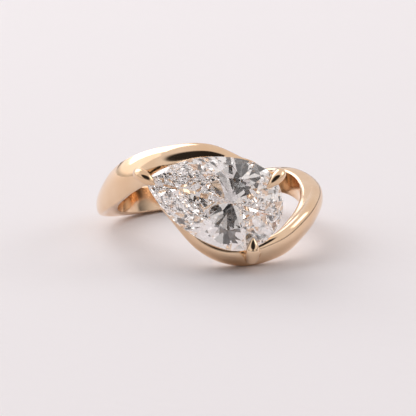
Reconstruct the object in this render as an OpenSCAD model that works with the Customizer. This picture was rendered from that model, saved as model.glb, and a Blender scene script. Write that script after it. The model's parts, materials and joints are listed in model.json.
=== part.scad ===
// A bypass ring whose pear cut stone lies across the finger, between two arms that sweep round it.
// In the ring's own frame +X is east across the finger, +Y north along the finger and +Z out of the table.
// The whole ring is then laid down on its south arm and the back of its shank, as it rests by itself.

/* [Finger hole] */
// Diameter of the finger hole
bore_d = 16.8; // [16:0.1:18]

/* [Shank] */
// Radial thickness at the back of the shank
shank_thick = 1.7; // [1.5:0.1:2]
// Width along the finger at the back of the shank
shank_wide = 2.4; // [2.2:0.1:2.7]

/* [Arms] */
// Radial thickness where the arms pass the finger's sides
side_thick = 1.95; // [1.8:0.05:2.1]
// Width of each arm at its crest beside the stone
crest_wide = 1.75; // [1.6:0.05:1.9]

/* [Stone] */
// Length of the pear, from its point to its round end
stone_long = 12.6; // [12.3:0.1:12.9]
// Width of the pear
stone_wide = 8.1; // [7.9:0.1:8.2]
// Turn of the pear's length away from due east, its point to the north
stone_turn = 22; // [21:1:24]
// Width of the table as a share of the pear's width
table_share = 0.58; // [0.54:0.01:0.58]
// Height of the crown above the girdle
crown_high = 1.15; // [1:0.05:1.15]
// Depth of the pavilion below the girdle
pavilion_deep = 3.5; // [3.3:0.05:3.55]

/* [Setting] */
// Diameter of the gallery rail under the girdle
rail_d = 0.7; // [0.6:0.05:0.75]
// Diameter of each claw where it passes the girdle
claw_d = 0.95; // [0.85:0.05:1.05]

/* [Resting] */
// How far the finger's axis leans back from upright
rest_tilt = 12.0; // [11:0.1:13]
// How far the ring's west side drops below its east side
rest_roll = 5.5; // [4.5:0.1:7.5]

/* [Hidden] */

bore_r = bore_d / 2;
// Height of the middle of the girdle over the top of the finger hole, and the girdle's thickness
stone_lift = 3.6;
girdle_z = bore_r + stone_lift;
girdle_high = 0.22;
// Clearance between the stone and the metal that holds it
seat_gap = 0.06;

// Each arm's path from the back of the shank, up its own side of the finger and past the stone.
// Columns: turn about the finger in degrees, shift along the finger towards the arm's own end,
// rise of the inside above the finger hole, radial thickness, width, and lean, which is how far south of the
// middle the crest of the outside dome stands.
TURN = 0;
SHIFT = 1;
RISE = 2;
THICK = 3;
WIDE = 4;
CREST = 5;
// Depth by which the shank's rough inside is bored away to leave a true round hole
bored = 0.15;
SOUTH_ARM = [
    [  0,  0.00, -bored, shank_thick + bored, shank_wide, 0.00],
    [ 30, -0.32, -bored, shank_thick + bored, shank_wide, 0.00],
    [ 60, -0.42, -bored, 1.80 + bored, shank_wide, -0.05],
    [ 90,  0.65, -bored, side_thick + bored, 2.35, -0.20],
    [115,  1.80,  0.15, 2.05, 2.30, -0.45],
    [135,  3.05,  0.55, 2.10, 2.20, -0.65],
    [155,  4.40,  1.00, 2.05, 2.00, -0.65],
    [175,  4.75,  1.05, 1.90, crest_wide, -0.40],
    [192,  3.20,  1.60, 1.50, 1.45, -0.10],
    [206, -0.55,  3.00, 0.85, 0.85, 0.00],
];
NORTH_ARM = [
    [  0,  0.00, -bored, shank_thick + bored, shank_wide, 0.00],
    [ 30,  0.02, -bored, shank_thick + bored, shank_wide + 0.15, 0.05],
    [ 60,  0.38, -bored, 1.80 + bored, shank_wide + 0.35, 0.35],
    [ 90,  1.15, -bored, side_thick + bored, 2.50, 0.80],
    [115,  2.35,  0.15, 2.05, 2.85, 0.95],
    [135,  3.55,  0.60, 2.15, 2.75, 0.85],
    [155,  4.50,  1.00, 2.10, 2.25, 0.55],
    [175,  4.62,  1.05, 1.90, crest_wide, 0.25],
    [192,  3.10,  1.33, 1.50, 1.45, 0.05],
    [206,  1.65,  2.80, 0.85, 0.85, 0.00],
];

// Slope of column c at station i, from the stations on either side of it
function slope(t, i, c) =
    let (a = max(i - 1, 0), b = min(i + 1, len(t) - 1))
    i == 0 ? 0 : (t[b][c] - t[a][c]) / (t[b][TURN] - t[a][TURN]);

// Smooth value of column c at a turn, by Hermite curves between the stations
function smooth(t, turn, c, i = 0) =
    i < len(t) - 2 && turn > t[i + 1][TURN] ? smooth(t, turn, c, i + 1) :
    let (h = t[i + 1][TURN] - t[i][TURN], u = (turn - t[i][TURN]) / h)
    (2 * u * u * u - 3 * u * u + 1) * t[i][c] + (u * u * u - 2 * u * u + u) * h * slope(t, i, c)
    + (3 * u * u - 2 * u * u * u) * t[i + 1][c] + (u * u * u - u * u) * h * slope(t, i + 1, c);

function unit(v) = v / norm(v);
function power(x, p) = sign(x) * pow(abs(x), p);

// A positive turn goes up the east side into the south arm, a negative one up the west into the north arm
tail_turn = SOUTH_ARM[len(SOUTH_ARM) - 1][TURN];
function arm(turn) = turn < 0 ? NORTH_ARM : SOUTH_ARM;
function centre(turn) =
    let (a = abs(turn), way = turn < 0 ? -1 : 1,
         r = bore_r + smooth(arm(turn), a, RISE) + smooth(arm(turn), a, THICK) / 2)
    [way * r * sin(a), -way * smooth(arm(turn), a, SHIFT), -r * cos(a)];

// Skin over a row of rings of points, closed by flat ends or round on itself
module skin(sections, loop = false) {
    n = len(sections[0]);
    rows = len(sections);
    points = [for (s = sections) each s];
    walls = [for (i = [0 : rows - (loop ? 1 : 2)], k = [0 : n - 1])
        let (a = i * n + k, b = i * n + (k + 1) % n,
             c = (i + 1) % rows * n + k, d = (i + 1) % rows * n + (k + 1) % n)
        each [[a, b, c], [b, d, c]]];
    ends = loop ? [] : [[for (k = [n - 1 : -1 : 0]) k], [for (k = [0 : n - 1]) (rows - 1) * n + k]];
    polyhedron(points, concat(walls, ends), convexity = 6);
}

band_points = 24;
band_rows = 104;
// Powers of the band's section, 1 for an ellipse and less for a squarer one. Its outside is a dome all
// along, and its inside is flat round the finger and turns to a dome up the arms, between these turns.
DOME = 0.9;
FLAT = 0.45;
flat_until = 95;
dome_from = 145;
// One ring of points round the band: a dome outside and a flatter curve inside
function band_section(turn) =
    let (a = abs(turn), step = 0.5,
        along = unit(centre(turn + step) - centre(turn - step)),
        radial = [sin(turn), 0, -cos(turn)],
        out = unit(radial - along * (radial * along)),
        side = cross(along, out),
        high = smooth(arm(turn), a, THICK) / 2,
        wide = smooth(arm(turn), a, WIDE) / 2,
        crest = smooth(arm(turn), a, CREST),
        risen = min(1, max(0, (a - flat_until) / (dome_from - flat_until))),
        inside = FLAT + (DOME - FLAT) * risen)
    [for (k = [0 : band_points - 1])
        let (u = k * 360 / band_points, p = sin(u) < 0 ? inside : DOME,
             c = power(cos(u), p), s = power(sin(u), p))
        centre(turn) + side * (wide * c - crest * max(0, s)) + out * high * s];
band_sections = [for (i = [0 : band_rows]) band_section(-tail_turn + 2 * tail_turn * i / band_rows)];

// Rings of points for a round wire along a path whose rows hold a point and a radius.
// Every ring starts off towards ref, so the skin doesn't twist.
function wire(path, ref, sides, loop = false) =
    let (last = len(path) - 1)
    [for (i = [0 : last])
        let (before = path[loop ? (i + last) % (last + 1) : max(i - 1, 0)][0],
            after = path[loop ? (i + 1) % (last + 1) : min(i + 1, last)][0],
            along = unit(after - before),
            flat = unit(ref - along * (ref * along)),
            up = cross(flat, along))
        [for (k = [0 : sides - 1])
            path[i][0] + path[i][1] * (flat * cos(k * 360 / sides) + up * sin(k * 360 / sides))]];

// The pear's outline about the centre of its round end, its point to the west.
// At f = 0 is the point, at 0.25 the south side, at 0.5 the round end and at 0.75 the north side.
function wing_r(l, w) = ((l - w / 2) * (l - w / 2) + w * w / 4) / w;
function on_wing(l, w, f) =
    let (r = wing_r(l, w), a = f * asin((l - w / 2) / r))
    [-r * sin(a), r * cos(a) - (r - w / 2)];
function pear(l, w, f) =
    f < 0.25 ? let (p = on_wing(l, w, 1 - f * 4)) [p[0], -p[1]] :
    f < 0.75 ? let (a = -90 + (f - 0.25) * 360) w / 2 * [cos(a), sin(a)] :
    on_wing(l, w, (f - 0.75) * 4);
function edge(f, grow = 0) = pear(stone_long + 2 * grow, stone_wide + 2 * grow, f - floor(f));
function at_height(p, z) = [p[0], p[1], z];

// Eight main facets round the pear, at these places on its outline, and the halves between them
MAINS = [0, 0.14, 0.27, 0.385, 0.5, 0.615, 0.73, 0.86];
mains = len(MAINS);
function main_at(i) = MAINS[i % mains] + floor(i / mains);
function half_at(i) = (main_at(i) + main_at(i + 1)) / 2;
table_mid = [-0.12 * stone_long, 0];
culet = [-0.03 * stone_long, 0, -pavilion_deep];
crown_foot = girdle_high / 2;
// Heights where the stars and the lower halves come to their points
star_share = 0.52;
lower_share = 0.82;
star_z = crown_foot + star_share * (crown_high - crown_foot);
lower_z = -lower_share * pavilion_deep;
// A short step along the outline to either side, for its tangent
near = 0.003;

// A main facet's plane as a point on the girdle and a normal, through the outline's tangent and a far point
function main_plane(i, z, far) =
    let (foot = at_height(edge(main_at(i)), z),
         tangent = edge(main_at(i) + near) - edge(main_at(i) - near))
    [foot, cross([tangent[0], tangent[1], 0], far - foot)];
// Where two planes meet at a height
function meet(a, b, z) =
    let (ca = a[1] * a[0] - a[1][2] * z, cb = b[1] * b[0] - b[1][2] * z,
         d = a[1][0] * b[1][1] - a[1][1] * b[1][0])
    [(ca * b[1][1] - a[1][1] * cb) / d, (a[1][0] * cb - ca * b[1][0]) / d, z];
function table_corner(i) =
    at_height(table_mid + table_share * (edge(main_at(i)) - table_mid), crown_high);
function crown_plane(i) = main_plane(i, crown_foot, table_corner(i));
function pavilion_plane(i) = main_plane(i, -crown_foot, culet);
stars = [for (i = [0 : mains - 1]) meet(crown_plane(i), crown_plane(i + 1), star_z)];
lowers = [for (i = [0 : mains - 1]) meet(pavilion_plane(i), pavilion_plane(i + 1), lower_z)];

// The girdle's points, a few on each half facet, each on the plane of its own half facet
steps = 3;
function on_plane(a, b, c, p) =
    let (n = cross(b - a, c - a))
    at_height(p, a[2] - (n[0] * (p[0] - a[0]) + n[1] * (p[1] - a[1])) / n[2]);
function girdle_point(i, h, s, tip, z) =
    let (a = h == 0 ? main_at(i) : half_at(i), b = h == 0 ? half_at(i) : main_at(i + 1))
    on_plane(tip, at_height(edge(a), z), at_height(edge(b), z), edge(a + (b - a) * s / steps));
top_girdle = [for (i = [0 : mains - 1], h = [0, 1], s = [0 : steps - 1])
    girdle_point(i, h, s, stars[i], crown_foot)];
low_girdle = [for (i = [0 : mains - 1], h = [0, 1], s = [0 : steps - 1])
    girdle_point(i, h, s, lowers[i], -crown_foot)];
table_corners = [for (i = [0 : mains - 1]) table_corner(i)];

// The cut stone as a brilliant: table, stars, kites and halves above, mains and halves below
module brilliant() {
    g = mains * 2 * steps;
    TABLE = 0;
    STAR = mains;
    TOP = 2 * mains;
    LOW = TOP + g;
    LOWER = LOW + g;
    CULET = LOWER + mains;
    polyhedron(
        concat(table_corners, stars, top_girdle, low_girdle, lowers, [culet]),
        concat(
            [[for (i = [mains - 1 : -1 : 0]) TABLE + i]],
            [for (i = [0 : mains - 1]) [TABLE + i, TABLE + (i + 1) % mains, STAR + i]],
            [for (i = [0 : mains - 1])
                [TABLE + i, STAR + i, TOP + i * 2 * steps, STAR + (i + mains - 1) % mains]],
            [for (i = [0 : mains - 1], k = [0 : 2 * steps - 1])
                [STAR + i, TOP + (i * 2 * steps + k + 1) % g, TOP + i * 2 * steps + k]],
            [for (k = [0 : g - 1]) [TOP + k, TOP + (k + 1) % g, LOW + (k + 1) % g, LOW + k]],
            [for (i = [0 : mains - 1], k = [0 : 2 * steps - 1])
                [LOWER + i, LOW + i * 2 * steps + k, LOW + (i * 2 * steps + k + 1) % g]],
            [for (i = [0 : mains - 1])
                [CULET, LOWER + (i + mains - 1) % mains, LOW + i * 2 * steps, LOWER + i]]),
        convexity = 4);
}

// Where the pear lies in the ring: the middle of its length, its turn and its girdle's height
stone_at = [-0.92, 0.70];
round_mid = stone_long / 2 - stone_wide / 2;
function in_ring(p) =
    let (x = p[0] + round_mid, c = cos(stone_turn), s = sin(stone_turn))
    [stone_at[0] + x * c + p[1] * s, stone_at[1] - x * s + p[1] * c, girdle_z + p[2]];
module stone_place() {
    translate([stone_at[0], stone_at[1], girdle_z])
    rotate([0, 0, -stone_turn])
    translate([round_mid, 0, 0])
    children();
}

// The gallery rail runs under the pear, a little proud of its south side and inside it all round elsewhere
rail_rows = 64;
rail_sides = 10;
rail_z = -1.08;
rail_shift = [-0.30, -0.10];
// How much shorter and narrower than the pear the rail's own outline is
rail_short = 1.6;
rail_narrow = 0.3;
function rail_at(f) =
    let (p = pear(stone_long - rail_short, stone_wide - rail_narrow, f) + rail_shift)
    in_ring(at_height(p, rail_z));
rail_path = [for (i = [0 : rail_rows - 1]) [rail_at((i + 0.5) / rail_rows), rail_d / 2]];
rail_sections = wire(rail_path, [0, 0, 1], rail_sides, true);

// Each claw stands on an arm, passes the girdle from outside and closes on the crown.
// Columns: place on the outline, turn of its lean in degrees, foot in the ring's frame, and its reach over
// the crown and its girth as shares of the usual claw's.
PLACE = 0;
LEAN = 1;
FOOT = 2;
REACH = 3;
GIRTH = 4;
CLAWS = [
    [0.996,  20, [-5.95,  2.85,  8.2], 0.74, 1.18],
    [0.343, -18, [ 2.55, -4.45, 10.3], 0.95, 1.28],
    [0.641,   9, [ 4.90,  1.85, 10.6], 1.12, 1.10],
];
claw_sides = 12;
// Up a claw's side past the girdle. Columns: height over the girdle, step out from the seat.
UP = 0;
OUT = 1;
SIDE_ROWS = [
    [-0.60, 0.02],
    [ 0.00, 0.00],
    [ 0.34, 0.00],
];
// Over the crown. Columns: height over the girdle, reach in from its edge, share of the claw's radius.
IN = 1;
SHARE = 2;
OVER_ROWS = [
    [0.64, -0.27, 1.00],
    [0.77,  0.08, 0.92],
    [0.85,  0.42, 0.72],
    [0.90,  0.74, 0.43],
    [0.93,  1.00, 0.14],
];
// Radius at a claw's foot and halfway up to the girdle, as shares of its radius at the girdle
foot_share = 1.15;
middle_share = 1.02;
// A claw's way in, leaned along the edge, for each millimetre square to the edge
function claw_inward(c) =
    let (t = unit(edge(c[PLACE] + near) - edge(c[PLACE] - near)), k = tan(c[LEAN]))
    [-t[1] - t[0] * k, t[0] - t[1] * k];
function claw_point(c, up, reach) = in_ring(at_height(edge(c[PLACE]) + claw_inward(c) * reach, up));
function claw_sections(c) =
    let (r = claw_d / 2 * c[GIRTH],
         side = [for (s = SIDE_ROWS) [claw_point(c, s[UP], -r - seat_gap - s[OUT]), r]],
         over = [for (s = OVER_ROWS)
             [claw_point(c, s[UP] + r - claw_d / 2, s[IN] * (s[IN] < 0 ? 1 : c[REACH])), r * s[SHARE]]],
         foot = [c[FOOT], r * foot_share],
         middle = [(c[FOOT] + side[0][0]) / 2, r * middle_share],
         in = claw_inward(c),
         across = in_ring([-in[1], in[0], 0]) - in_ring([0, 0, 0]))
    wire(concat([foot, middle], side, over), across, claw_sides);

hole_long = 30;
module finger_hole() {
    rotate([90, 0, 0]) cylinder(r = bore_r, h = hole_long, center = true, $fn = 128);
}

// The ring leans back on its south arm and the back of its shank, middle over the origin
rest_turn = [90 - rest_tilt, -rest_roll, 0];
function laid(p) =
    let (a = rest_turn[0], b = rest_turn[1],
         y = p[1] * cos(a) - p[2] * sin(a), z = p[1] * sin(a) + p[2] * cos(a))
    [p[0] * cos(b) + z * sin(b), y, z * cos(b) - p[0] * sin(b)];
outer_points = [
    for (s = band_sections) for (p = s) laid(p),
    for (p = concat(table_corners, top_girdle)) laid(in_ring(p)),
    for (c = CLAWS) for (s = claw_sections(c)) for (p = s) laid(p)];
function low(axis) = min([for (p = outer_points) p[axis]]);
function high(axis) = max([for (p = outer_points) p[axis]]);
module laid_down() {
    translate([-(low(0) + high(0)) / 2, -(low(1) + high(1)) / 2, -low(2)])
    rotate(rest_turn)
    children();
}

module band() {
    skin(band_sections);
}

module gallery_rail() {
    skin(rail_sections, true);
}

module claws() {
    for (c = CLAWS) skin(claw_sections(c));
}

// Band, rail and claws are soldered into one piece, and the finger hole is bored last
module mount() {
    color([0.85, 0.66, 0.42])
    laid_down()
    difference() {
        union() {
            band();
            gallery_rail();
            claws();
        }
        finger_hole();
    }
}

module pear_stone() {
    color([0.9, 0.93, 0.96])
    laid_down()
    stone_place()
    brilliant();
}

mount();
pear_stone();
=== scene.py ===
"""Looks of an east west ring: a bypass ring of polished gold whose pear cut stone lies across the finger.

The ring is worked out in its own frame, in millimetres: +X across the finger towards the pear's round end,
+Y along the finger and +Z out of the stone's table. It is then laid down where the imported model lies.
"""

import json
import logging
import math
from dataclasses import dataclass
from enum import Enum
from typing import Any, Sequence

import bpy
import numpy as np
from mathutils import Euler, Matrix, Vector

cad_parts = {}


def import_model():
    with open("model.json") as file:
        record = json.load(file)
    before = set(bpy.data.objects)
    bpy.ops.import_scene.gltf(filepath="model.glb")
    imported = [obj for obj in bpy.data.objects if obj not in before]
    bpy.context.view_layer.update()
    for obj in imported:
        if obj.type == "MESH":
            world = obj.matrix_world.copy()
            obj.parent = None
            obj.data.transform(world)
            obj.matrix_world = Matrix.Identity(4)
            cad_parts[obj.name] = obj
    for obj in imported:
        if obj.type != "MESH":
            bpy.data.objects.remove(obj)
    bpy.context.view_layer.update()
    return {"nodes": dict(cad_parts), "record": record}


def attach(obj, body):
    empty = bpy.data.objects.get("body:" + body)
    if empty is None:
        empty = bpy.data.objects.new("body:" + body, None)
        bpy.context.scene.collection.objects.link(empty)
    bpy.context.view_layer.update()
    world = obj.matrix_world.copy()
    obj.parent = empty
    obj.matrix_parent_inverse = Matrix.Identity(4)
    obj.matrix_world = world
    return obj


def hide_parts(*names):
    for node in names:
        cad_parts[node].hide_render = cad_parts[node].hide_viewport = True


LOG = logging.getLogger("ring")
MM = 0.001
ROOT = "root"

Colour = tuple[float, float, float]
Place = tuple[float, float, float]
Socket = bpy.types.NodeSocket


class Side(Enum):
    """The side of the ring that an arm comes up, and the sign of its turns about the finger."""

    EAST = 1
    WEST = -1

    @classmethod
    def of(cls, turn: float) -> "Side":
        """The side that a turn from the back of the shank lies on."""
        return cls.WEST if turn < 0 else cls.EAST


class Holds(Enum):
    """What a field on a spine holds at each of its points."""

    VECTOR = "FLOAT_VECTOR"
    NUMBER = "FLOAT"


def unit(v: np.ndarray) -> np.ndarray:
    """The vector at length one."""
    return v / np.linalg.norm(v)


def risen(value: float, start: float, end: float) -> float:
    """How far a value has come from start to end, from 0 to 1."""
    return min(1.0, max(0.0, (value - start) / (end - start)))


def smoothed(knots: np.ndarray, fine: int) -> list[np.ndarray]:
    """A smooth line through knots, by Catmull-Rom curves.

    Args:
        knots: the knots, one to a row.
        fine: steps from one knot to the next.

    Returns:
        The line's points, from the first knot to the last.
    """
    padded = np.vstack([2 * knots[0] - knots[1], knots, 2 * knots[-1] - knots[-2]])
    line = []
    for i in range(len(knots) - 1):
        a, b, c, d = padded[i : i + 4]
        bend = 2 * a - 5 * b + 4 * c - d
        twist = 3 * b - a - 3 * c + d
        for u in (j / fine for j in range(fine)):
            line.append(0.5 * (2 * b + (c - a) * u + bend * u**2 + twist * u**3))
    return [*line, knots[-1]]


@dataclass(frozen=True)
class Station:
    """One station of an arm, in degrees and millimetres.

    turn is the turn about the finger from the back of the shank. shift is how far the section stands to the
    arm's own side, south for the south arm and north for the north arm. rise is how far its inside stands
    off the finger hole. crest is how far south of the middle the crest of the outside dome stands.
    """

    turn: float
    shift: float
    rise: float
    thick: float
    wide: float
    crest: float


@dataclass(frozen=True)
class RingSizes:
    """The driving sizes of the ring, in millimetres and degrees.

    bored is how far the band's section reaches into the finger hole, to be bored out there.
    """

    hole_d: float = 16.8
    shank_thick: float = 1.7
    shank_wide: float = 2.4
    side_thick: float = 1.95
    crest_wide: float = 1.75
    bored: float = 0.15
    stone_long: float = 12.6
    stone_wide: float = 8.1
    stone_turn: float = 22.0
    stone_lift: float = 3.6
    stone_x: float = -0.92
    stone_y: float = 0.70
    rail_d: float = 0.7
    claw_d: float = 0.95
    seat_gap: float = 0.06

    @property
    def hole_r(self) -> float:
        """Radius of the finger hole."""
        return self.hole_d / 2

    @property
    def girdle_z(self) -> float:
        """Height of the middle of the girdle in the ring's frame."""
        return self.hole_r + self.stone_lift

    def south_arm(self) -> tuple[Station, ...]:
        """The arm that goes up the east side and passes south of the stone.

        Returns:
            Its stations, from the back of the shank to the tail.
        """
        b, s, w = self.bored, self.shank_thick, self.shank_wide
        return (
            Station(0, 0.00, -b, s + b, w, 0.00),
            Station(30, -0.32, -b, s + b, w, 0.00),
            Station(60, -0.42, -b, 1.80 + b, w, -0.05),
            Station(90, 0.65, -b, self.side_thick + b, 2.35, -0.20),
            Station(115, 1.80, 0.15, 2.05, 2.30, -0.45),
            Station(135, 3.05, 0.55, 2.10, 2.20, -0.65),
            Station(155, 4.40, 1.00, 2.05, 2.00, -0.65),
            Station(175, 4.75, 1.05, 1.90, self.crest_wide, -0.40),
            Station(192, 3.20, 1.60, 1.50, 1.45, -0.10),
            Station(206, -0.55, 3.00, 0.85, 0.85, 0.00),
        )

    def north_arm(self) -> tuple[Station, ...]:
        """The arm that goes up the west side and passes north of the stone.

        Returns:
            Its stations, from the back of the shank to the tail.
        """
        b, s, w = self.bored, self.shank_thick, self.shank_wide
        return (
            Station(0, 0.00, -b, s + b, w, 0.00),
            Station(30, 0.02, -b, s + b, w + 0.15, 0.05),
            Station(60, 0.38, -b, 1.80 + b, w + 0.35, 0.35),
            Station(90, 1.15, -b, self.side_thick + b, 2.50, 0.80),
            Station(115, 2.35, 0.15, 2.05, 2.85, 0.95),
            Station(135, 3.55, 0.60, 2.15, 2.75, 0.85),
            Station(155, 4.50, 1.00, 2.10, 2.25, 0.55),
            Station(175, 4.62, 1.05, 1.90, self.crest_wide, 0.25),
            Station(192, 3.10, 1.33, 1.50, 1.45, 0.05),
            Station(206, 1.65, 2.80, 0.85, 0.85, 0.00),
        )

    def in_ring(self, p: np.ndarray, z: float) -> np.ndarray:
        """A point of the stone's own frame in the ring's frame.

        Args:
            p: where it lies on the stone's plan, about the centre of its round end.
            z: its height over the girdle's middle.

        Returns:
            The point in the ring's frame.
        """
        x = p[0] + self.stone_long / 2 - self.stone_wide / 2
        t = math.radians(self.stone_turn)
        return np.array(
            [
                self.stone_x + x * math.cos(t) + p[1] * math.sin(t),
                self.stone_y - x * math.sin(t) + p[1] * math.cos(t),
                self.girdle_z + z,
            ]
        )


@dataclass(frozen=True)
class RestPose:
    """How the ring lies: its finger's axis leans back by tilt and its west side drops by roll, in degrees.

    hole_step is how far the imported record's point in the finger hole lies up the finger from the ring's
    own origin, in metres.
    """

    tilt: float = 12.0
    roll: float = 5.5
    hole_step: float = 0.000309

    @property
    def turn(self) -> Euler:
        """The ring's turn from its own frame to the row frame."""
        return Euler((math.radians(90 - self.tilt), math.radians(-self.roll), 0.0))

    def place(self, record: dict[str, Any]) -> Vector:
        """Where the ring's origin lies in the row frame.

        Args:
            record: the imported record, whose finger hole gives the place.

        Returns:
            The origin in metres.
        """
        hole = next(m for m in record["mounts"] if m["name"] == "finger_hole")
        return Vector(hole["pos_m"]) - self.hole_step * Vector(hole["axis"])


@dataclass(frozen=True)
class Row:
    """One ring of a swept piece: centre, the unit vectors to its outside and its side, and half sizes.

    inside and outside are the powers of its two halves, 1 for an ellipse and less for a squarer one. crest
    is how far the outside half's crest stands back from the middle.
    """

    centre: np.ndarray
    out: np.ndarray
    side: np.ndarray
    high: float
    wide: float
    inside: float = 1.0
    outside: float = 1.0
    crest: float = 0.0


class Arm:
    """One arm's path and section, as smooth functions of the turn about the finger."""

    def __init__(self, stations: Sequence[Station]) -> None:
        """Keeps the stations, in order of their turn."""
        self.stations = stations
        self.turns = [s.turn for s in stations]

    def value(self, turn: float, column: str) -> float:
        """Smooth value of a column, by Hermite curves between the stations.

        Args:
            turn: turn about the finger, in degrees, from the back of the shank.
            column: name of the Station's field.

        Returns:
            The value at that turn.
        """
        v = [getattr(s, column) for s in self.stations]
        i = int(np.clip(np.searchsorted(self.turns, turn) - 1, 0, len(v) - 2))
        h = self.turns[i + 1] - self.turns[i]
        u = (turn - self.turns[i]) / h
        a, b = self._slope(v, i) * h, self._slope(v, i + 1) * h
        return (
            (2 * u**3 - 3 * u**2 + 1) * v[i]
            + (u**3 - 2 * u**2 + u) * a
            + (3 * u**2 - 2 * u**3) * v[i + 1]
            + (u**3 - u**2) * b
        )

    def _slope(self, v: Sequence[float], i: int) -> float:
        """Slope of the values at a station, level at the back of the shank.

        Args:
            v: a column's values at the stations.
            i: the station's number.

        Returns:
            The slope to a degree of turn.
        """
        if i == 0:
            return 0.0
        a, b = i - 1, min(i + 1, len(v) - 1)
        return (v[b] - v[a]) / (self.turns[b] - self.turns[a])


class Wiring:
    """Adds nodes to a tree and links them, for a shape, a finish or the light."""

    def __init__(self, tree: bpy.types.NodeTree) -> None:
        """Keeps the tree that the nodes go in."""
        self.tree = tree

    def node(self, kind: str, **settings: Any) -> bpy.types.Node:
        """Adds a node.

        Args:
            kind: the node's type.
            settings: its settings by name.

        Returns:
            The new node.
        """
        node = self.tree.nodes.new(kind)
        for name, value in settings.items():
            setattr(node, name, value)
        return node

    def put(self, socket: Socket, value: Any) -> None:
        """Links an input to another node, or sets it.

        Args:
            socket: the input.
            value: another node's output, or a plain value.
        """
        if isinstance(value, Socket):
            self.tree.links.new(value, socket)
        else:
            socket.default_value = value

    def feed(self, node: bpy.types.Node, *values: Any) -> Socket:
        """Fills a node's inputs in order.

        Args:
            node: the node.
            values: an output or a plain value for each input in use.

        Returns:
            The node's first output in use.
        """
        for socket, value in zip([s for s in node.inputs if s.enabled], values):
            self.put(socket, value)
        return next(s for s in node.outputs if s.enabled)

    def fill(self, node: bpy.types.Node, **values: Any) -> bpy.types.Node:
        """Fills a node's inputs by name.

        Args:
            node: the node.
            values: an output or a plain value for each name, whose underscores stand for spaces.

        Returns:
            The node.
        """
        for name, value in values.items():
            self.put(node.inputs[name.replace("_", " ")], value)
        return node

    def number(self, operation: str, *values: Any) -> Socket:
        """The result of a Math node."""
        return self.feed(self.node("ShaderNodeMath", operation=operation), *values)

    def vector(self, operation: str, *values: Any) -> Socket:
        """The result of a Vector Math node."""
        return self.feed(self.node("ShaderNodeVectorMath", operation=operation), *values)

    def scaled(self, vector: Socket, factor: Socket) -> Socket:
        """A vector times a number."""
        node = self.node("ShaderNodeVectorMath", operation="SCALE")
        return self.fill(node, Vector=vector, Scale=factor).outputs["Vector"]

    def length(self, vector: Socket) -> Socket:
        """A vector's length."""
        node = self.node("ShaderNodeVectorMath", operation="LENGTH")
        return self.fill(node, Vector=vector).outputs["Value"]


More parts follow.
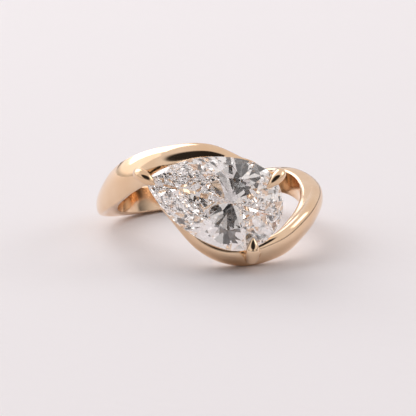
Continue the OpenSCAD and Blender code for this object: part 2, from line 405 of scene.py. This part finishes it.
class SweepTree(Wiring):
    """Geometry Nodes that wrap a skin round a spine whose points hold the section there.

    The spine's points hold the fields of Row by name. NEAR is how close two points are taken as one, in
    metres.
    """

    POINTS = "Points round"
    HOLE = "Hole radius"
    PLACE = "Place"
    TURN = "Turn"
    MATERIAL = "Material"
    INPUTS = {
        "Geometry": "NodeSocketGeometry",
        POINTS: "NodeSocketInt",
        HOLE: "NodeSocketFloat",
        PLACE: "NodeSocketVector",
        TURN: "NodeSocketVector",
        MATERIAL: "NodeSocketMaterial",
    }
    DIRECTIONS = ("out", "side")
    LENGTHS = ("high", "wide", "crest")
    POWERS = ("inside", "outside")
    NEAR = 1e-7

    def __init__(self) -> None:
        """Builds the tree, with its named inputs."""
        super().__init__(bpy.data.node_groups.new("swept_skin", "GeometryNodeTree"))
        for name, kind in self.INPUTS.items():
            self.tree.interface.new_socket(name, in_out="INPUT", socket_type=kind)
        self.tree.interface.new_socket("Geometry", in_out="OUTPUT", socket_type="NodeSocketGeometry")
        self.source = self.node("NodeGroupInput").outputs
        bored = self._bored(self._skin())
        self.put(self.node("NodeGroupOutput").inputs["Geometry"], self._laid(bored))

    def _skin(self) -> Socket:
        """Lays a grid with a row for each of the spine's points, and wraps its columns round the spine.

        Returns:
            The skin, still open along the seam where its first and last columns meet.
        """
        points = self.source[self.POINTS]
        rows = self.feed(self.node("GeometryNodeAttributeDomainSize"), self.source["Geometry"])
        columns = self.number("ADD", points, 1)
        grid = self.node("GeometryNodeMeshGrid")
        grid_side = 1.0
        self.feed(grid, grid_side, grid_side, rows, columns)
        index = self.node("GeometryNodeInputIndex").outputs[0]
        # Half a point past the index, so that rounding can't reach the row before.
        past = self.number("ADD", index, 0.5)
        row = self.number("FLOOR", self.number("DIVIDE", past, columns))
        column = self.number("SUBTRACT", index, self.number("MULTIPLY", row, columns))
        angle = self.number("DIVIDE", self.number("MULTIPLY", column, math.tau), points)
        place = self._section(row, self.number("COSINE", angle), self.number("SINE", angle))
        return self.feed(self.node("GeometryNodeSetPosition"), grid.outputs["Mesh"], True, place)

    def _section(self, row: Socket, across: Socket, up: Socket) -> Socket:
        """Where a point of the section lies.

        Args:
            row: the row that it is on.
            across: how far it lies across a round section, from -1 to 1.
            up: how far it lies to the outside of a round section, from -1 to 1.

        Returns:
            Its place in the ring's frame.
        """
        here = self.node("GeometryNodeInputPosition").outputs[0]
        centre = self._at_row(here, Holds.VECTOR, row)
        held = {word: self._held(word, Holds.VECTOR, row) for word in self.DIRECTIONS}
        held |= {word: self._held(word, Holds.NUMBER, row) for word in (*self.LENGTHS, *self.POWERS)}
        within = self.number("LESS_THAN", up, 0.0)
        without = self.number("SUBTRACT", 1.0, within)
        power = self.number(
            "ADD",
            self.number("MULTIPLY", within, held["inside"]),
            self.number("MULTIPLY", without, held["outside"]),
        )
        height = self._rounded(up, power)
        breadth = self.number("MULTIPLY", held["wide"], self._rounded(across, power))
        back = self.number("MULTIPLY", held["crest"], self.number("MAXIMUM", height, 0.0))
        sideways = self.scaled(held["side"], self.number("SUBTRACT", breadth, back))
        outwards = self.scaled(held["out"], self.number("MULTIPLY", held["high"], height))
        return self.vector("ADD", centre, self.vector("ADD", sideways, outwards))

    def _at_row(self, field: Socket, holds: Holds, row: Socket) -> Socket:
        """What a field on the spine holds at a row."""
        sample = self.node("GeometryNodeSampleIndex", data_type=holds.value)
        return self.feed(sample, self.source["Geometry"], field, row)

    def _held(self, word: str, holds: Holds, row: Socket) -> Socket:
        """What the spine holds under a name at a row."""
        named = self.node("GeometryNodeInputNamedAttribute", data_type=holds.value)
        return self._at_row(self.feed(named, word), holds, row)

    def _rounded(self, value: Socket, power: Socket) -> Socket:
        """The value's size to a power, with its sign kept."""
        size = self.number("POWER", self.number("ABSOLUTE", value), power)
        return self.number("MULTIPLY", self.number("SIGN", value), size)

    def _bored(self, skin: Socket) -> Socket:
        """Pushes what lies inside the finger hole's radius out to its wall.

        Args:
            skin: the piece's skin.

        Returns:
            The bored skin.
        """
        here = self.node("GeometryNodeInputPosition").outputs[0]
        flat = self.vector("MULTIPLY", here, (1.0, 0.0, 1.0))
        deep = self.number("SUBTRACT", self.source[self.HOLE], self.length(flat))
        push = self.scaled(self.vector("NORMALIZE", flat), self.number("MAXIMUM", deep, 0.0))
        return self.fill(self.node("GeometryNodeSetPosition"), Geometry=skin, Offset=push).outputs[0]

    def _laid(self, skin: Socket) -> Socket:
        """Closes the skin's seam and ends, lays it down where the ring lies and gives it its material.

        Args:
            skin: the piece's skin in the ring's frame.

        Returns:
            The finished piece in the row frame.
        """
        closed = self.feed(self.node("GeometryNodeMergeByDistance"), skin, True, self.NEAR)
        smooth = self.feed(self.node("GeometryNodeSetShadeSmooth"), closed, True, True)
        turn = self.feed(self.node("FunctionNodeEulerToRotation"), self.source[self.TURN])
        laid = self.fill(
            self.node("GeometryNodeTransform"),
            Geometry=smooth,
            Translation=self.source[self.PLACE],
            Rotation=turn,
        )
        real = self.feed(self.node("GeometryNodeRealizeInstances"), laid.outputs[0])
        return self.feed(self.node("GeometryNodeSetMaterial"), real, True, self.source[self.MATERIAL])

    def apply(self, name: str, rows: Sequence[Row], values: dict[str, Any]) -> bpy.types.Object:
        """Sweeps a skin along rows and keeps it as a plain mesh.

        Args:
            name: name of the new object.
            rows: the spine's rows, in millimetres in the ring's frame.
            values: the tree's inputs by name.

        Returns:
            The new object, with no modifier left on it.
        """
        mesh = bpy.data.meshes.new(name)
        mesh.from_pydata([tuple(r.centre * MM) for r in rows], [], [])
        for word in self.DIRECTIONS:
            attribute = mesh.attributes.new(word, Holds.VECTOR.value, "POINT")
            attribute.data.foreach_set("vector", np.array([getattr(r, word) for r in rows]).ravel())
        for word in (*self.LENGTHS, *self.POWERS):
            scale = MM if word in self.LENGTHS else 1.0
            attribute = mesh.attributes.new(word, Holds.NUMBER.value, "POINT")
            attribute.data.foreach_set("value", np.array([getattr(r, word) * scale for r in rows]))
        piece = bpy.data.objects.new(name, mesh)
        bpy.context.scene.collection.objects.link(piece)
        modifier = piece.modifiers.new("sweep", "NODES")
        modifier.node_group = self.tree
        for socket in self.tree.interface.items_tree:
            if socket.in_out == "INPUT" and socket.name in values:
                modifier[socket.identifier] = values[socket.name]
        return settled(piece)


def settled(piece: bpy.types.Object) -> bpy.types.Object:
    """Turns a piece with its modifiers into a plain mesh whose faces point outwards.

    Args:
        piece: the piece.

    Returns:
        The same piece, with no modifier left on it.
    """
    graph = bpy.context.evaluated_depsgraph_get()
    mesh = bpy.data.meshes.new_from_object(piece.evaluated_get(graph), depsgraph=graph)
    piece.modifiers.clear()
    piece.data = mesh
    if signed_volume(mesh) < 0:
        mesh.flip_normals()
    return piece


def signed_volume(mesh: bpy.types.Mesh) -> float:
    """Works out a closed mesh's volume.

    Args:
        mesh: the mesh.

    Returns:
        The volume, below zero if the mesh is inside out.
    """
    mesh.calc_loop_triangles()
    points = np.zeros(len(mesh.vertices) * 3)
    mesh.vertices.foreach_get("co", points)
    corners = np.zeros(len(mesh.loop_triangles) * 3, int)
    mesh.loop_triangles.foreach_get("vertices", corners)
    a, b, c = points.reshape(-1, 3)[corners.reshape(-1, 3)].transpose(1, 0, 2)
    return float((a * np.cross(b, c)).sum() / 6)


@dataclass(frozen=True)
class Caster:
    """Casts the metal pieces: the nodes that sweep them, how the ring lies, and their gold."""

    tree: SweepTree
    place: Vector
    turn: Euler
    gold: bpy.types.Material

    def cast(self, name: str, rows: Sequence[Row], points: int, hole_r: float = 0.0) -> bpy.types.Object:
        """Casts one piece.

        Args:
            name: the piece's name.
            rows: the rows of its spine.
            points: how many points its section has.
            hole_r: radius of the finger hole that it is bored to, in millimetres.

        Returns:
            The piece, as a plain mesh in the row frame.
        """
        values = {
            self.tree.PLACE: self.place,
            self.tree.TURN: Vector(self.turn),
            self.tree.MATERIAL: self.gold,
            self.tree.POINTS: points,
            self.tree.HOLE: hole_r * MM,
        }
        return self.tree.apply(name, rows, values)


@dataclass(frozen=True)
class Pear:
    """A pear outline about the centre of its round end, its point to the west, in millimetres.

    A place on it runs from 0 at the point over 0.25 on the south side and 0.5 at the round end to 0.75 on
    the north side.
    """

    long: float
    wide: float

    def _wing(self, f: float) -> np.ndarray:
        """A point on the north wing.

        Args:
            f: how far along the wing, from the round end at 0 to the pear's point at 1.

        Returns:
            The point.
        """
        reach = self.long - self.wide / 2
        r = (reach**2 + self.wide**2 / 4) / self.wide
        a = f * math.asin(reach / r)
        return np.array([-r * math.sin(a), r * math.cos(a) - (r - self.wide / 2)])

    def point(self, f: float) -> np.ndarray:
        """A point on the outline.

        Args:
            f: its place on the outline.

        Returns:
            The point.
        """
        f = f % 1.0
        if f < 0.25:
            return self._wing(1 - f * 4) * np.array([1, -1])
        if f < 0.75:
            a = math.radians(-90 + (f - 0.25) * 360)
            return self.wide / 2 * np.array([math.cos(a), math.sin(a)])
        return self._wing((f - 0.75) * 4)

    def along(self, f: float, step: float = 0.003) -> np.ndarray:
        """The unit direction along the outline."""
        return unit(self.point(f + step) - self.point(f - step))


@dataclass
class Band:
    """The shank and both arms in one sweep, from the north arm's tail to the south arm's.

    dome and flat are the section's powers outside and inside. The inside goes from flat to dome between the
    turns flat_until and dome_from. step is the turn over which the band's direction is measured, and
    end_round is how far each tail's round end stands out.
    """

    sizes: RingSizes
    rows: int = 520
    points: int = 72
    step: float = 0.5
    end_round: float = 0.3
    end_rows: int = 6
    dome: float = 0.9
    flat: float = 0.45
    flat_until: float = 95.0
    dome_from: float = 145.0

    def __post_init__(self) -> None:
        """Makes both arms' smooth paths."""
        self._arms = {Side.EAST: Arm(self.sizes.south_arm()), Side.WEST: Arm(self.sizes.north_arm())}

    def build(self, caster: Caster) -> bpy.types.Object:
        """Casts the band, bored to the finger hole."""
        return caster.cast("ring_mount", self._spine(), self.points, self.sizes.hole_r)

    def _centre(self, turn: float) -> np.ndarray:
        """The middle of the section.

        Args:
            turn: the turn about the finger, in degrees.

        Returns:
            The middle in the ring's frame.
        """
        side = Side.of(turn)
        arm, way, a = self._arms[side], side.value, abs(turn)
        r = self.sizes.hole_r + arm.value(a, "rise") + arm.value(a, "thick") / 2
        t = math.radians(a)
        return np.array([way * r * math.sin(t), -way * arm.value(a, "shift"), -r * math.cos(t)])

    def _row(self, turn: float, shrink: float = 1.0, push: float = 0.0) -> Row:
        """The band's section at a turn.

        Args:
            turn: the turn about the finger, in degrees.
            shrink: share of its full size.
            push: how far the section is moved on along the band, in millimetres.

        Returns:
            The row.
        """
        arm, a = self._arms[Side.of(turn)], abs(turn)
        along = unit(self._centre(turn + self.step) - self._centre(turn - self.step))
        t = math.radians(turn)
        radial = np.array([math.sin(t), 0.0, -math.cos(t)])
        out = unit(radial - along * (radial @ along))
        return Row(
            self._centre(turn) + along * push,
            out,
            np.cross(along, out),
            high=arm.value(a, "thick") / 2 * shrink,
            wide=arm.value(a, "wide") / 2 * shrink,
            inside=self.flat + (self.dome - self.flat) * risen(a, self.flat_until, self.dome_from),
            outside=self.dome,
            crest=arm.value(a, "crest"),
        )

    def _spine(self) -> list[Row]:
        """Works out the spine, from the north arm's tail round the shank's back to the south arm's tail.

        Returns:
            Its rows, with both tails' round ends.
        """
        last = self.sizes.south_arm()[-1].turn
        rows = [self._row(-last + 2 * last * i / self.rows) for i in range(self.rows + 1)]
        ends = [math.radians(90 * i / self.end_rows) for i in range(1, self.end_rows + 1)]
        first = [self._row(-last, math.cos(a), -self.end_round * math.sin(a)) for a in reversed(ends)]
        tail = [self._row(last, math.cos(a), self.end_round * math.sin(a)) for a in ends]
        return first + rows + tail


@dataclass
class GalleryRail:
    """The thin rail round the stone under its girdle, in millimetres.

    Its outline is the stone's, shorter and narrower, moved by shift. height is over the girdle's middle.
    """

    sizes: RingSizes
    rows: int = 180
    points: int = 20
    height: float = -1.08
    shorter: float = 1.6
    narrower: float = 0.3
    shift: tuple[float, float] = (-0.30, -0.10)

    def build(self, caster: Caster) -> bpy.types.Object:
        """Casts the rail."""
        return caster.cast("rail", self._spine(), self.points)

    def _spine(self) -> list[Row]:
        """Works out the spine round the stone.

        Returns:
            Its rows, the last on the first.
        """
        s = self.sizes
        outline = Pear(s.stone_long - self.shorter, s.stone_wide - self.narrower)
        # Half a step along, so that no row stands on the pear's sharp point.
        places = [
            s.in_ring(outline.point((i + 0.5) / self.rows) + np.array(self.shift), self.height)
            for i in range(self.rows)
        ]
        up = np.array([0.0, 0.0, 1.0])
        rows = []
        for i in range(self.rows + 1):
            along = unit(places[(i + 1) % self.rows] - places[(i - 1) % self.rows])
            rows.append(Row(places[i % self.rows], up, np.cross(along, up), s.rail_d / 2, s.rail_d / 2))
        return rows


@dataclass(frozen=True)
class ClawPlan:
    """A claw's place on the pear's outline, its lean along it in degrees, and its foot in the ring's frame.

    reach and girth are how far it closes over the crown and how stout it is, as shares of the usual claw.
    """

    name: str
    place: float
    lean: float
    foot: Place
    reach: float
    girth: float


@dataclass(frozen=True)
class Knot:
    """A knot of a claw's path: its height over the girdle, its way in, and its share of the claw's radius.

    The way in is in millimetres, from the claw's place beside the stone or from the stone's edge.
    """

    up: float
    inward: float
    share: float = 1.0


@dataclass
class Claws:
    """The claws that hold the stone, each a round rod from its foot past the girdle to a leaf on the crown.

    A claw goes up beside the stone, bends in at the knot bend and lies over the crown. Its foot and the
    middle of its leg are foot_share and leg_share of its radius. Its back is round up to its knot
    level_from, and levels off to the power leaf at its knot level_at. fine is how many rows there are from
    one knot to the next, and tip_shares are the places of the rows that round its tip.
    """

    sizes: RingSizes
    plans: tuple[ClawPlan, ...] = (
        ClawPlan("point_claw", 0.996, 20.0, (-5.95, 2.85, 8.2), reach=0.74, girth=1.18),
        ClawPlan("south_claw", 0.343, -18.0, (2.55, -4.45, 10.3), reach=0.95, girth=1.28),
        ClawPlan("north_claw", 0.641, 9.0, (4.90, 1.85, 10.6), reach=1.12, girth=1.10),
    )
    beside: tuple[Knot, ...] = (Knot(-0.60, -0.02), Knot(0.0, 0.0), Knot(0.34, 0.0))
    bend: Knot = Knot(0.64, -0.27)
    over: tuple[Knot, ...] = (
        Knot(0.77, 0.08, 0.92),
        Knot(0.85, 0.42, 0.72),
        Knot(0.90, 0.74, 0.43),
        Knot(0.93, 1.00, 0.14),
    )
    foot_share: float = 1.15
    leg_share: float = 1.02
    points: int = 32
    fine: int = 6
    leaf: float = 0.6
    level_from: float = 4.0
    level_at: float = 6.0
    tip_shares: tuple[float, ...] = (0.5, 1.0)

    def build(self, caster: Caster) -> list[bpy.types.Object]:
        """Casts each claw."""
        return [caster.cast(plan.name, self._spine(plan), self.points) for plan in self.plans]

    def _spine(self, plan: ClawPlan) -> list[Row]:
        """Works out a claw's path past the stone's edge.

        Args:
            plan: which claw.

        Returns:
            The rows of its spine, from its foot to its tip.
        """
        s = self.sizes
        outline = Pear(s.stone_long, s.stone_wide)
        edge, t, k = outline.point(plan.place), outline.along(plan.place), math.tan(math.radians(plan.lean))
        inward = np.array([-t[1] - t[0] * k, t[0] - t[1] * k])
        r = s.claw_d / 2 * plan.girth
        away, lift = r + s.seat_gap, r - s.claw_d / 2
        path = [
            *(Knot(knot.up, knot.inward - away) for knot in self.beside),
            Knot(self.bend.up + lift, self.bend.inward),
            *(Knot(knot.up + lift, knot.inward * plan.reach, knot.share) for knot in self.over),
        ]
        past = [(s.in_ring(edge + inward * knot.inward, knot.up), r * knot.share) for knot in path]
        foot = np.array(plan.foot)
        leg = (foot + past[0][0]) / 2
        across = unit(s.in_ring(np.array([-inward[1], inward[0]]), 0) - s.in_ring(np.zeros(2), 0))
        return self._rod([(foot, r * self.foot_share), (leg, r * self.leg_share), *past], across)

    def _rod(self, knots: Sequence[tuple[np.ndarray, float]], side: np.ndarray) -> list[Row]:
        """Smooth rows of a round rod through knots of a point and a radius, closed at both ends.

        Args:
            knots: points and radii.
            side: the direction that the rod's sections keep to one side.

        Returns:
            The rows.
        """
        line = smoothed(np.array([np.append(p, r) for p, r in knots]), self.fine)
        last = len(line) - 1
        rows = []
        for i, q in enumerate(line):
            along = unit(line[min(i + 1, last)][:3] - line[max(i - 1, 0)][:3])
            flat = unit(side - along * (side @ along))
            level = risen(i / self.fine, self.level_from, self.level_at)
            back = 1.0 + (self.leaf - 1.0) * level
            rows.append(Row(q[:3], np.cross(flat, along), flat, q[3], q[3], outside=back))
        head, tip = rows[0], rows[-1]
        onward = unit(line[-1][:3] - line[-2][:3])
        for share in self.tip_shares:
            size = tip.high * math.sqrt(1 - share**2)
            rows.append(Row(tip.centre + onward * tip.high * share, tip.out, tip.side, size, size))
        return [Row(head.centre, head.out, head.side, 0.0, 0.0), *rows]


@dataclass
class Mount:
    """The soldered metal: band, gallery rail and claws, fused into one mesh.

    crease is the angle in degrees past which an edge between two faces stays sharp.
    """

    sizes: RingSizes
    crease: float = 32.0

    def build(self, caster: Caster) -> bpy.types.Object:
        """Casts each metal piece and fuses them.

        Args:
            caster: what casts the pieces.

        Returns:
            The fused mount.
        """
        band = Band(self.sizes).build(caster)
        rail = GalleryRail(self.sizes).build(caster)
        return self._soldered(band, [rail, *Claws(self.sizes).build(caster)])

    def _soldered(self, band: bpy.types.Object, parts: Sequence[bpy.types.Object]) -> bpy.types.Object:
        """Fuses the parts to the band, and keeps the creases between them sharp.

        Args:
            band: the band.
            parts: the other metal pieces, which are used up.

        Returns:
            The band with the parts on it.
        """
        for part in parts:
            joint = band.modifiers.new("solder_" + part.name, "BOOLEAN")
            joint.operation = "UNION"
            joint.solver = "MANIFOLD"
            joint.object = part
        settled(band)
        for part in parts:
            bpy.data.objects.remove(part)
        band.data.set_sharp_from_angle(angle=math.radians(self.crease))
        return band


@dataclass(frozen=True)
class Grain:
    """How fine a noise is: its patches to a metre, and how many finer layers lie in them."""

    patches: float
    layers: float


class Finish(Wiring):
    """Makes a material's nodes, with plain numbers on the shader's own sockets.

    Nearly all of a noise lies between LEAST and MOST.
    """

    LEAST = 0.3
    MOST = 0.7

    def __init__(self, name: str) -> None:
        """Starts a material with its Principled shader.

        Args:
            name: the material's name.
        """
        self.material = bpy.data.materials.new(name)
        self.material.use_nodes = True
        super().__init__(self.material.node_tree)
        self.shader = self.tree.nodes["Principled BSDF"]

    def set(self, **values: Any) -> None:
        """Sets or links the shader's sockets; a name's underscores stand for spaces."""
        self.fill(self.shader, **values)

    def noise(self, grain: Grain) -> Socket:
        """Noise on Object coordinates.

        Args:
            grain: how fine it is.

        Returns:
            The noise's value.
        """
        place = self.node("ShaderNodeTexCoord").outputs["Object"]
        noise = self.node("ShaderNodeTexNoise")
        return self.fill(noise, Vector=place, Scale=grain.patches, Detail=grain.layers).outputs["Fac"]

    def blend(self, value: Socket, low: Colour, high: Colour) -> Socket:
        """A blend of two colours by a noise.

        Args:
            value: the noise's value.
            low: the colour where it is least.
            high: the colour where it is most.

        Returns:
            The blended colour.
        """
        node = self.node("ShaderNodeValToRGB")
        for stop, place, colour in zip(node.color_ramp.elements, (self.LEAST, self.MOST), (low, high)):
            stop.position = place
            stop.color = (*colour, 1.0)
        return self.fill(node, Fac=value).outputs["Color"]

    def spread(self, value: Socket, low: float, high: float) -> Socket:
        """A noise spread from a low number to a high one.

        Args:
            value: the noise's value.
            low: the number where it is least.
            high: the number where it is most.

        Returns:
            The number.
        """
        node = self.node("ShaderNodeMapRange")
        self.fill(node, Value=value, From_Min=self.LEAST, From_Max=self.MOST, To_Min=low, To_Max=high)
        return node.outputs["Result"]

    def bump(self, height: Socket, strength: float, distance: float) -> None:
        """Bumps the surface by a height.

        Args:
            height: the height's field.
            strength: share of the bump.
            distance: height of the bump in metres.
        """
        node = self.fill(self.node("ShaderNodeBump"), Height=height, Strength=strength, Distance=distance)
        self.set(Normal=node.outputs["Normal"])


@dataclass(frozen=True)
class PolishedGold:
    """Polished warm gold, with the faint unevenness that a buffing wheel leaves.

    Its colour lies between light and deep, and its roughness between smoothest and roughest.
    """

    light: Colour = (0.90, 0.68, 0.48)
    deep: Colour = (0.81, 0.56, 0.355)
    clouds: Grain = Grain(260.0, 3.0)
    smoothest: float = 0.07
    roughest: float = 0.15
    wear: Grain = Grain(900.0, 4.0)
    tooth: Grain = Grain(1400.0, 2.0)
    tooth_share: float = 0.06
    tooth_depth: float = 0.00002

    def material(self) -> bpy.types.Material:
        """Makes the metal's material.

        Returns:
            The material.
        """
        finish = Finish("polished_gold")
        finish.set(
            Metallic=1.0,
            Base_Color=finish.blend(finish.noise(self.clouds), self.deep, self.light),
            Roughness=finish.spread(finish.noise(self.wear), self.smoothest, self.roughest),
        )
        finish.bump(finish.noise(self.tooth), self.tooth_share, self.tooth_depth)
        return finish.material


@dataclass(frozen=True)
class CutStone:
    """Clear cut stone with a strong refraction, in which light turns many times before it leaves."""

    colour: Colour = (0.985, 0.968, 0.95)
    ior: float = 2.42
    light_turns: int = 40

    def dress(self, stone: bpy.types.Object) -> None:
        """Gives the stone its material, and light enough turns to leave it.

        Args:
            stone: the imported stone.
        """
        finish = Finish("clear_stone")
        finish.set(Roughness=0.0, IOR=self.ior, Transmission_Weight=1.0, Base_Color=(*self.colour, 1.0))
        paths = bpy.context.scene.cycles
        paths.max_bounces = self.light_turns
        paths.transmission_bounces = self.light_turns
        paths.glossy_bounces = self.light_turns
        stone.data.materials.clear()
        stone.data.materials.append(finish.material)


@dataclass(frozen=True)
class PaleFloor:
    """A plain pale floor with a faint tooth, in metres."""

    colour: Colour = (0.89, 0.86, 0.88)
    side: float = 3.0
    roughness: float = 0.75
    tooth: Grain = Grain(700.0, 5.0)
    tooth_share: float = 0.12
    tooth_depth: float = 0.0004

    def build(self) -> None:
        """Lays the floor, centred under the ring."""
        half = self.side / 2
        mesh = bpy.data.meshes.new("floor")
        corners = [(-half, -half, 0), (half, -half, 0), (half, half, 0), (-half, half, 0)]
        mesh.from_pydata(corners, [], [(0, 1, 2, 3)])
        floor = bpy.data.objects.new("floor", mesh)
        bpy.context.scene.collection.objects.link(floor)
        finish = Finish("pale_floor")
        finish.set(Roughness=self.roughness, Base_Color=(*self.colour, 1.0))
        finish.bump(finish.noise(self.tooth), self.tooth_share, self.tooth_depth)
        mesh.materials.append(finish.material)


@dataclass(frozen=True)
class SoftBox:
    """A square area light: its place, its side in metres, its power in watts, and what it looks at."""

    name: str
    place: Place
    side: float
    power: float
    colour: Colour = (1.0, 1.0, 1.0)
    aim: Place = (0.0, 0.0, 0.005)

    def build(self) -> None:
        """Adds the light."""
        light = bpy.data.lights.new(self.name, "AREA")
        light.size = self.side
        light.energy = self.power
        light.color = self.colour
        lamp = bpy.data.objects.new(self.name, light)
        bpy.context.scene.collection.objects.link(lamp)
        lamp.location = self.place
        lamp.rotation_euler = (Vector(self.place) - Vector(self.aim)).to_track_quat("Z", "Y").to_euler()


class RoomLight(Wiring):
    """Makes a room's brightness from the direction alone."""

    def step(self, value: Socket, start: float, end: float, low: float) -> Socket:
        """A smooth step up to full brightness.

        Args:
            value: what the step runs along.
            start: where it starts.
            end: where it ends.
            low: the brightness up to the start.

        Returns:
            The brightness.
        """
        node = self.node("ShaderNodeMapRange", interpolation_type="SMOOTHSTEP")
        self.fill(node, Value=value, From_Min=start, From_Max=end, To_Min=low, To_Max=1.0)
        return node.outputs["Result"]

    def from_middle(self, place: Socket, middle: tuple[float, float], size: tuple[float, float]) -> Socket:
        """How far a direction lies from an ellipse's middle.

        Args:
            place: the direction.
            middle: the ellipse's middle, east and up.
            size: its half sizes, east and up.

        Returns:
            The distance, which is 1 on the ellipse.
        """
        off = self.vector("SUBTRACT", place, (middle[0], 0.0, middle[1]))
        return self.length(self.vector("MULTIPLY", off, (1 / size[0], 0.0, 1 / size[1])))


@dataclass(frozen=True)
class Studio:
    """Soft light from a pale room with a dim skirting round it and a dark gap in front of the ring.

    Heights are the rise of a direction over the floor, from 0 level to 1 straight up. The skirting goes
    over into the room between skirting_until and room_from. The gap is an ellipse that is darkest up to
    the share gap_core of its size, in the directions whose north part is under gap_front, and gone past
    gap_back.
    """

    room: Colour = (0.97, 0.92, 0.91)
    strength: float = 0.86
    skirting: float = 0.12
    skirting_until: float = 0.0
    room_from: float = 0.12
    gap: float = 0.03
    gap_middle: tuple[float, float] = (-0.05, 0.50)
    gap_size: tuple[float, float] = (0.76, 0.44)
    gap_core: float = 0.86
    gap_front: float = -0.3
    gap_back: float = 0.0
    boxes: tuple[SoftBox, ...] = (
        SoftBox("key_light", (-0.50, 0.40, 0.24), side=0.80, power=0.95, colour=(0.99, 0.99, 1.0)),
        SoftBox("back_light", (-0.30, 0.52, 0.48), side=0.62, power=2.2, colour=(0.99, 0.99, 1.0)),
        SoftBox("side_light", (0.50, 0.05, 0.30), side=0.26, power=0.35),
    )

    def build(self) -> None:
        """Sets the world and adds the lights."""
        world = bpy.data.worlds.new("room")
        bpy.context.scene.world = world
        world.use_nodes = True
        self._light(RoomLight(world.node_tree))
        for box in self.boxes:
            box.build()

    def _light(self, wiring: RoomLight) -> None:
        """Lights the room.

        Args:
            wiring: what adds the room's nodes.
        """
        place = wiring.node("ShaderNodeTexCoord").outputs["Generated"]
        parts = wiring.fill(wiring.node("ShaderNodeSeparateXYZ"), Vector=place).outputs
        over = wiring.step(parts["Z"], self.skirting_until, self.room_from, self.skirting)
        off = wiring.from_middle(place, self.gap_middle, self.gap_size)
        shut = wiring.step(off, self.gap_core, 1.0, self.gap)
        behind = wiring.step(parts["Y"], self.gap_front, self.gap_back, 0.0)
        light = wiring.number("MULTIPLY", over, wiring.number("MAXIMUM", shut, behind))
        wiring.fill(
            wiring.tree.nodes["Background"],
            Color=(*self.room, 1.0),
            Strength=wiring.number("MULTIPLY", light, self.strength),
        )


@dataclass(frozen=True)
class ViewPoint:
    """The photograph's view: turns from the ring's frame to the camera's, in degrees, and how it is framed.

    distance and near, the closest that the camera sees, are in metres. The picture is picture_px wide and
    high, with px_mm pixels to a millimetre at the ring. centre_px is where the ring's origin shows, in
    pixels from the left and the top.
    """

    lean: float = 6.4
    nod: float = 4.0
    swing: float = 6.2
    distance: float = 0.300
    near: float = 0.01
    px_mm: float = 10.9
    picture_px: float = 416.0
    centre_px: tuple[float, float] = (208.7, 197.4)
    sensor: float = 36.0

    def build(self, pose: RestPose, record: dict[str, Any]) -> None:
        """Adds the camera and makes it the scene's.

        Args:
            pose: how the ring lies.
            record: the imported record.
        """
        to_camera = (
            Matrix.Rotation(math.radians(self.lean), 3, "Z")
            @ Matrix.Rotation(math.radians(self.nod), 3, "X")
            @ Matrix.Rotation(math.radians(self.swing), 3, "Y")
        )
        in_row = pose.turn.to_matrix() @ to_camera.transposed()
        data = bpy.data.cameras.new("camera")
        data.sensor_width = self.sensor
        data.lens = self.sensor * self.distance / MM * self.px_mm / self.picture_px
        data.shift_x = (self.picture_px / 2 - self.centre_px[0]) / self.picture_px
        data.shift_y = (self.centre_px[1] - self.picture_px / 2) / self.picture_px
        data.clip_start = self.near
        camera = bpy.data.objects.new("camera", data)
        bpy.context.scene.collection.objects.link(camera)
        placed = in_row.to_4x4()
        placed.translation = pose.place(record) + in_row.col[2] * self.distance
        camera.matrix_world = placed
        bpy.context.scene.camera = camera


def main() -> None:
    """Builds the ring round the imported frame, with its light and camera."""
    logging.basicConfig(level=logging.INFO, format="%(name)s: %(message)s")
    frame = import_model()
    record, stone = frame["record"], frame["nodes"]["pear_stone"]
    bpy.context.scene.view_settings.view_transform = "Standard"
    pose = RestPose()
    ViewPoint().build(pose, record)
    caster = Caster(SweepTree(), pose.place(record), pose.turn, PolishedGold().material())
    mount = Mount(RingSizes()).build(caster)
    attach(mount, ROOT)
    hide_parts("mount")
    CutStone().dress(stone)
    for piece in (mount, stone):
        LOG.info("%s: %d faces", piece.name, len(piece.data.polygons))
    PaleFloor().build()
    Studio().build()


if __name__ == "__main__":
    main()
